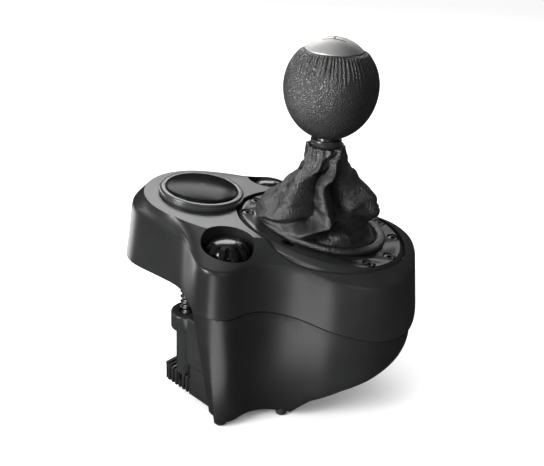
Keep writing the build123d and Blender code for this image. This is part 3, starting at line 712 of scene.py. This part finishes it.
def boot_band(name, low, high, thicken):
    columns = 200
    rows = max(4, round((high - low) * (100)))

    def point_at(turn, row):
        point = boot_point(turn, low + (high - low) * min(row, rows) / rows)
        return turned_in(point, row - rows - 1) if row > rows else point

    bm = wrapped(point_at, columns, rows + (len(TURNED_IN) if high == 1 else 0))
    piece = new_piece(name, bm, boot_leather, crisp=70)
    wall = piece.modifiers.new("wall", "SOLIDIFY")
    wall.thickness = BOOT_WALL
    wall.offset = thicken
    wall.use_rim = False
    bend_along_lever(piece)
    print(name, len(piece.data.polygons))
    return piece


boot_low = boot_band("boot_low", 0.0, 0.42, INWARDS)
boot_band("boot_middle", 0.42, 0.74, OUTWARDS)
boot_band("boot_high", 0.74, 1, INWARDS)
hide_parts("leather_boot")

# %% [markdown]
# ## The reverse spring
#
# Inside the boot a spring holds the lever up, until the driver pushes it down
# for reverse. Its coils come from the frame. A rigid spring would cut through
# the lever when the lever goes down. Here a steel copy of it takes its place.

# %% Reverse spring
spring = new_piece("reverse_spring_look", node_copy("reverse_spring"), steel, crisp=40)
bend_along_lever(spring)
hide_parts("reverse_spring")
print("spring", len(spring.data.polygons))

# %% [markdown]
# ## The hem
#
# The boot ends in a roll of leather that lies on the plate. A torus would be
# round, but the roll is pressed flat and follows an outline of its own. So a
# grid is wrapped twice: once round the boot and once round the roll. The top
# side is gathered a little, seventy times round.


# %% Hem
GATHERS = 70
# Below one, a circle grows corners. At one it would stay round.
SQUARENESS = 0.75
HEM_CORNERS = 16
HEM_COLUMNS = 280


def squarish(value):
    return math.copysign(abs(value) ** SQUARENESS, value)


def hem_point(turn, corner):
    angle = math.tau * (corner % HEM_CORNERS) / HEM_CORNERS
    gather = 1 + 0.05 * math.cos(GATHERS * turn) * max(0, math.sin(angle))
    half = HEM["width"] / 2
    tall = HEM["height"] / 2
    x, y = along_hem(turn, half - squarish(math.cos(angle)) * half * gather)
    rise = squarish(math.sin(angle)) * tall * gather * 0.95
    return plate_frame @ Vector((x, y, PLATE["thickness"] + tall + rise))


hem = new_piece("hem", wrapped(hem_point, HEM_COLUMNS, HEM_CORNERS), boot_leather, "base", 80)
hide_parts("boot_hem")
print("hem", len(hem.data.polygons))

# %% [markdown]
# ## The ball grip
#
# The grip is a ball covered with leather. It is round above its middle and drawn
# out to the collar below. The skin is gathered in fine pleats where it is tucked
# under the cap. A bump would give the pleats no outline against the light, so
# they are in the mesh: six columns to a pleat.

# %% Ball grip
# In millimetres. The skin runs from the cut under the cap down to the neck.
BALL = {"radius": 25.0, "height": 184.5, "stretch": 28.0, "cut": 18.7, "neck": 8.4, "crown": 6.3}
PLEATS = 66
PLEAT_DEPTH = 0.95
SKIN_ROWS = 60


def pleat_push(turn, share):
    spot = Vector((math.cos(turn), math.sin(turn), 0))
    fade = 1 - smooth_step(share, 0.12, 0.34 + 0.10 * noise.noise(spot * 9))
    pleat = abs(math.sin(turn * PLEATS / 2 + noise.noise(spot * 6))) ** 0.6 - 1
    uneven = 0.8 + 0.5 * noise.noise(spot * 5)
    return pleat * fade * PLEAT_DEPTH * uneven


def ball_point(turn, row):
    share = (row / SKIN_ROWS) ** 1.15
    top = math.asin(BALL["cut"] / BALL["radius"])
    low = -math.acos(BALL["neck"] / BALL["radius"])
    angle = top + (low - top) * share
    rise = (BALL["radius"] if angle > 0 else BALL["stretch"]) * math.sin(angle)
    tail = smooth_step(share, 0.86, 1.0) * math.cos(turn * 22) * 0.12
    tuck = (1 - smooth_step(share, 0.0, 0.035)) * 0.9
    radius = BALL["radius"] * math.cos(angle) + pleat_push(turn, share) + tail - 0.12 - tuck
    return Vector((radius * math.cos(turn), LEVER_Y + radius * math.sin(turn),
                   BALL["height"] + rise - tuck * 0.4))


grip = new_piece("grip_leather", wrapped(ball_point, PLEATS * 6, SKIN_ROWS), leather, "lever", 75)
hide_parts("knob_leather")
print("grip", len(grip.data.polygons))

# %% [markdown]
# ## The cap
#
# The cap is a metal disc, crowned like a shallow dome, whose rounded rim holds
# the leather. Turned parts are quickest to make as on a lathe: half of the
# outline is drawn once, as radius and height, and spun round the axis.


# %% Cap
CAP_STEPS = 96
CROWN_RINGS = 24


def lathe(profile, steps):
    bm = bmesh.new()
    chain = [bm.verts.new((radius, 0, height)) for radius, height in profile]
    for low, high in zip(chain, chain[1:]):
        bm.edges.new((low, high))
    bmesh.ops.spin(bm, geom=bm.verts[:] + bm.edges[:], cent=(0, 0, 0), axis=(0, 0, 1),
                   angle=math.tau, steps=steps, use_merge=True)
    bmesh.ops.remove_doubles(bm, verts=bm.verts, dist=TOUCH / MM)
    return bm


# The cap's rim lies inside the cut of the ball by the thickness of the skin.
SKIN = 1.45
cap_radius = math.sqrt(BALL["radius"] ** 2 - BALL["cut"] ** 2) - SKIN
cap_low = BALL["height"] + BALL["cut"]
cap_profile = [(cap_radius - 1.0, cap_low - 2.3), (cap_radius - 0.1, cap_low - 2.3),
               (cap_radius, cap_low - 0.5), (cap_radius - 0.08, cap_low + 0.15)]
# The crown is a slice of a large sphere.
sphere = (cap_radius ** 2 + BALL["crown"] ** 2) / (2 * BALL["crown"])
edge_angle = math.asin(cap_radius / sphere)
for ring in range(1, CROWN_RINGS + 1):
    angle = edge_angle * (1 - ring / CROWN_RINGS)
    cap_profile.append((sphere * math.sin(angle),
                        cap_low + BALL["crown"] - sphere * (1 - math.cos(angle))))
cap_bm = into_frame(lathe(cap_profile, CAP_STEPS), Matrix.Translation((0, LEVER_Y, 0)))
cap = new_piece("cap", cap_bm, satin_metal, "lever", 35)
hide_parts("knob_cap")
print("cap", len(cap.data.polygons))

# %% [markdown]
# ## Clamp screws
#
# The knobs on the deck lift the jaws by two screws with a coarse thread. A
# screw can be made by spinning a tooth and raising it at every step, but then
# the ends need trimming. Here a plain rod of many rings comes off the lathe,
# and each point moves out by the height of the thread at its place. The thread
# winds once round for each 3.3 mm and fades out at the foot.

# %% Threads
# In millimetres: the screw's place, the ends of its thread and its radii.
SCREW = {"x": 33.0, "y": 64.7, "low": 6.5, "high": 76.2, "crest": 4.4, "root": 3.1, "pitch": 3.3,
         "journal": 3.0, "top": 85.4}
RINGS_PER_PITCH = 10
SCREW_STEPS = 32


def rod_profile():
    length = SCREW["high"] - SCREW["low"]
    rings = int(length / SCREW["pitch"] * RINGS_PER_PITCH)
    profile = [(0, SCREW["low"])]
    profile += [(SCREW["root"], SCREW["low"] + length * ring / rings) for ring in range(rings + 1)]
    return profile + [(SCREW["journal"], SCREW["high"]), (SCREW["journal"], SCREW["top"]), (0, SCREW["top"])]


def cut_thread(bm):
    for vertex in bm.verts:
        x, y, z = vertex.co
        if math.hypot(x, y) < (SCREW["root"] + SCREW["journal"]) / 2:
            continue
        turn = math.atan2(y, x)
        phase = (z / SCREW["pitch"] - turn / math.tau) % 1
        tooth = 1 - min(1.0, abs(phase - 0.5) * 2.4)
        fade = min(1.0, (z - SCREW["low"]) / 2 + 0.2)
        radius = SCREW["root"] + (SCREW["crest"] - SCREW["root"]) * tooth * fade
        vertex.co = (radius * math.cos(turn), radius * math.sin(turn), z)


for side, name in ((-1, "left"), (1, "right")):
    rod_bm = lathe(rod_profile(), SCREW_STEPS)
    cut_thread(rod_bm)
    into_frame(rod_bm, Matrix.Translation((side * SCREW["x"], SCREW["y"], 0)))
    rod = new_piece("thread_" + name, rod_bm, thread_steel, "screw_" + name, 40)
    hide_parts("clamp_screw_" + name)
    print(rod.name, len(rod.data.polygons))

# %% [markdown]
# ## Clamp knobs
#
# Each knob is a glossy dome with ten finger notches, which end in an arch below
# its crown. Cutting the notches with a boolean would leave uneven faces that
# spoil the gloss. So the dome is turned with many steps, and the points inside
# a notch move towards the axis.

# %% Clamp knobs
# In millimetres: the knob's place, its foot, its radius and its notches.
KNOB = {"x": 45.5, "y": 39.0, "low": 93.6, "radius": 12.3, "notches": 10, "depth": 2.5}
# The dome starts at this height over a straight wall and rises by its height.
DOME = {"start": 8.3, "height": 8.2, "rings": 26}
ARCH_TOP = 15.5


def knob_profile():
    wall = [(0, 0)] + [(KNOB["radius"], height) for height in (0, 2.0, 4.0, 6.0)]
    for ring in range(DOME["rings"] + 1):
        angle = math.pi / 2 * ring / DOME["rings"]
        level = max(0.0, math.cos(angle)) ** 0.75 if ring < DOME["rings"] else 0
        wall.append((KNOB["radius"] * level, DOME["start"] + DOME["height"] * math.sin(angle) ** 1.1))
    return wall


def press_notches(bm):
    for vertex in bm.verts:
        x, y, z = vertex.co
        turn = math.atan2(y, x)
        away = abs((turn * KNOB["notches"] / math.tau) % 1 - 0.5) * 2
        arch = ARCH_TOP - 0.8 * (away / 0.5) ** 2
        inside = (1 - smooth_step(away, 0.44, 0.56)) * (1 - smooth_step(z, arch - 0.5, arch + 0.2))
        radius = max(0.0, math.hypot(x, y) - KNOB["depth"] * inside)
        vertex.co = (radius * math.cos(turn), radius * math.sin(turn), z)


for side, name in ((-1, "left"), (1, "right")):
    dial_bm = lathe(knob_profile(), 300)
    press_notches(dial_bm)
    into_frame(dial_bm, Matrix.Translation((side * KNOB["x"], KNOB["y"], KNOB["low"])))
    dial = new_piece("dial_" + name, dial_bm, gloss_plastic, "knob_" + name, 40)
    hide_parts("clamp_knob_" + name)
    print(dial.name, len(dial.data.polygons))

# %% [markdown]
# ## Jaw ribs
#
# Ribs across the top of each jaw stop it from sliding off the edge of a table.
# A rib is a four-sided section that is extruded along its length and bevelled.
# The same short loop sets seven of them behind each other, in the jaw's own
# frame, and one matrix then turns the whole row out with the toe of the jaw.

# %% Jaw ribs
TOE = math.radians(29)
# In millimetres from the screw's axis: where the first rib starts, half of a
# rib's length, its heights, its foot, how far its sides lean, and the spacing.
RIB = {"tip": 12.4, "half": 6.4, "top": 17.0, "seat": 15.7, "foot": 1.6, "draft": 0.25, "pitch": 3.1}
RIBS = 7


def verts_of(items):
    return [item for item in items if isinstance(item, bmesh.types.BMVert)]


def add_rib(bm, start):
    end = start - RIB["foot"]
    section = [(start, RIB["seat"]), (start - RIB["draft"], RIB["top"]),
               (end + RIB["draft"], RIB["top"]), (end, RIB["seat"])]
    side_face = bm.faces.new([bm.verts.new((-RIB["half"], y, z)) for y, z in section])
    grown = bmesh.ops.extrude_face_region(bm, geom=[side_face])["geom"]
    bmesh.ops.translate(bm, verts=verts_of(grown), vec=(2 * RIB["half"], 0, 0))


for side, name in ((-1, "left"), (1, "right")):
    rib_bm = bmesh.new()
    for rib in range(RIBS):
        add_rib(rib_bm, RIB["tip"] - rib * RIB["pitch"])
    into_frame(rib_bm, Matrix.Translation((side * SCREW["x"], SCREW["y"], 0))
               @ Matrix.Rotation(side * TOE, 4, "Z"))
    bmesh.ops.bevel(rib_bm, geom=rib_bm.edges[:], offset=0.00012, segments=1, profile=0.5,
                    affect="EDGES", material=-1, clamp_overlap=True)
    ribs = new_piece("jaw_ribs_" + name, rib_bm, jaw_plastic, "clamp_" + name, 35)
    print(ribs.name, len(ribs.data.polygons))

# %% [markdown]
# ## Plate screws
#
# Eight button-head screws hold the plate. A boolean could cut the sockets, but a
# few extrusions are cleaner. A head is turned on the lathe up to its flat top.
# Its rim is then extruded inwards onto a hexagon and extruded down, as one would
# by hand, and the two open ends are filled. The hexagon is turned a little
# differently on each screw, as on real screws.

# %% Plate screws
# The heads on one side, in millimetres on the plate; the other side mirrors them.
HEADS = [(9.0, 39.0), (30.8, 10.4), (27.4, -33.0), (12.3, -42.7)]
HEAD_PROFILE = [(3.3, -1.3), (3.35, -0.7), (2.9, -0.2), (2.2, 0)]
HEAD_STEPS = 24
# The socket's half width across its flats, its depth, and the head's top above
# the floor of its recess, which is cut into the plate.
SOCKET = {"half": 1.45, "depth": 1.0}
RECESS = {"depth": 1.7, "head": 1.36}


def extruded_rim(bm, rim):
    grown = bmesh.ops.extrude_edge_only(bm, edges=rim)["geom"]
    return verts_of(grown), [item for item in grown
                             if isinstance(item, bmesh.types.BMEdge) and item.is_boundary]


def screw_head(socket_turn):
    bm = lathe(HEAD_PROFILE, HEAD_STEPS)
    rim = [edge for edge in bm.edges if edge.is_boundary and edge.verts[0].co.z > -TOUCH]
    corners, rim = extruded_rim(bm, rim)
    for corner in corners:
        turn = math.atan2(corner.co.y, corner.co.x)
        radius = SOCKET["half"] / math.cos(turn % (math.pi / 3) - math.pi / 6)
        turn += socket_turn
        corner.co = (radius * math.cos(turn), radius * math.sin(turn), 0)
    floor_corners, rim = extruded_rim(bm, rim)
    bmesh.ops.translate(bm, verts=floor_corners, vec=(0, 0, -SOCKET["depth"]))
    bmesh.ops.holes_fill(bm, edges=[edge for edge in bm.edges if edge.is_boundary])
    return bm


heads_bm = bmesh.new()
head_mesh = bpy.data.meshes.new("head")
head_top = PLATE["thickness"] - RECESS["depth"] + RECESS["head"]
for x, y in [(side * x, y) for x, y in HEADS for side in (-1, 1)]:
    head_bm = screw_head(math.atan2(y, x))
    bmesh.ops.transform(head_bm, matrix=plate_frame @ Matrix.Translation((x, y, head_top)),
                        verts=head_bm.verts)
    head_bm.to_mesh(head_mesh)
    head_bm.free()
    heads_bm.from_mesh(head_mesh)
heads = new_piece("plate_screw_heads", into_frame(heads_bm), dark_steel, "base", 35)
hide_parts("plate_screws")
print("heads", len(heads.data.polygons))

# %% [markdown]
# ## Floor
#
# A product photo stands on a seamless pale sweep. Here one large floor runs past
# the edge of the picture, so no horizon shows. Black gloss would mirror it and
# turn pale, so mirrored rays see it as nearly black.

# %% Floor
FLOOR_HALF = 9.0
MIRRORED_FLOOR = 0.03
floor_shader = Shader("floor_paint", Specular_IOR_Level=0.2)
floor_tone = floor_shader.noise(0.5, 2.0)
floor_shader.feed("Base Color", floor_shader.blend(floor_tone, grey(0.93), grey(0.95)))
floor_shader.feed("Roughness", floor_shader.cloudy(floor_tone, 0.8, 0.9))
painted = Value(floor_shader, floor_shader.surface.outputs[0])
mirrored = floor_shader.node("ShaderNodeLightPath", output="Is Glossy Ray")
floor_shader.show(floor_shader.node("ShaderNodeMixShader", {}, {
    0: mirrored, 1: painted, 2: floor_shader.glow(MIRRORED_FLOOR, 1.0)}))
floor_bm = bmesh.new()
bmesh.ops.create_grid(floor_bm, x_segments=2, y_segments=2, size=FLOOR_HALF)
floor = new_piece("floor", floor_bm, floor_shader.material)
print("floor of", FLOOR_HALF * 2, "m")

# %% [markdown]
# ## World
#
# The world fills the shadows with plain white light. Mirrored rays see it dark,
# for the same reason as the floor.

# %% World
world = bpy.data.worlds.new("studio")
bpy.context.scene.world = world
world.use_nodes = True
nodes = world.node_tree.nodes
links = world.node_tree.links
path = nodes.new("ShaderNodeLightPath")
shade = nodes.new("ShaderNodeMix")
shade.data_type = "RGBA"
shade.inputs[6].default_value = (1, 1, 1, 1)
shade.inputs[7].default_value = (0.05, 0.05, 0.052, 1)
links.new(path.outputs["Is Glossy Ray"], shade.inputs[0])
links.new(shade.outputs[2], nodes["Background"].inputs["Color"])
print("world made")

# %% [markdown]
# ## Lamps
#
# Black plastic is lit less by the light that it scatters than by what it
# mirrors. Small lamps would give dots, so each lamp is a large soft box, whose
# mirror image draws the form: the one behind turns the flat deck pale, and low
# strips draw lines along the edges.


# %% Lamps
# In metres: what the lamps point at.
AIM = Vector((0, 0.02 - ORIGIN_AHEAD, 0.1))


# The azimuth and the elevation are in degrees round the object.
def soft_box(name, azimuth, elevation, distance, width, height, brightness):
    data = bpy.data.lights.new(name, "AREA")
    data.shape = "RECTANGLE"
    data.size = width
    data.size_y = height
    data.energy = brightness * math.pi * width * height
    across, above = math.radians(azimuth), math.radians(elevation)
    away = Vector((math.cos(above) * math.cos(across), math.cos(above) * math.sin(across),
                   math.sin(above)))
    lamp = bpy.data.objects.new(name, data)
    lamp.location = AIM + away * distance
    lamp.rotation_euler = (-away).to_track_quat("-Z", "Y").to_euler()
    bpy.context.scene.collection.objects.link(lamp)
    print(name, round(data.energy, 1), "W")


soft_box("back_box", 25, 34, 1.3, 0.78, 0.36, 7.5)
soft_box("left_strip", 136, 20, 1.3, 0.42, 0.62, 34.0)
soft_box("right_box", -8, 27, 1.3, 0.50, 0.24, 3.4)
soft_box("rim_strip", 98, 14, 1.3, 0.50, 0.06, 12.0)
soft_box("near_strip", -150, 16, 1.3, 0.60, 0.06, 8.0)
soft_box("top_box", 40, 74, 1.2, 0.6, 0.6, 1.2)

# %% [markdown]
# ## Cards
#
# Photographers lay white cards beside a dark object to brighten the walls that
# face them. A lamp there would also light the floor. These two cards glow, but
# the camera, the shadows and the scattered light don't see them, so they show
# only as a mirror image.

# %% Cards
CARD_STRENGTH = 3.4
CARD_HEIGHT = 1
card_shader = Shader("card_paint")
card_shader.show(card_shader.glow(1.0, CARD_STRENGTH))


# The corners are in millimetres, as for every new piece.
def card(name, corners):
    bm = bmesh.new()
    bm.faces.new([bm.verts.new((x, y, CARD_HEIGHT)) for x, y in corners])
    made = new_piece(name, into_frame(bm), card_shader.material)
    made.visible_camera = False
    made.visible_diffuse = False
    made.visible_transmission = False
    made.visible_shadow = False


card("floor_card", [(-85, 0), (-85, 50), (-500, 200), (-500, 70)])
card("far_card", [(20, 220), (160, 200), (220, 420), (60, 460)])
print("cards made")
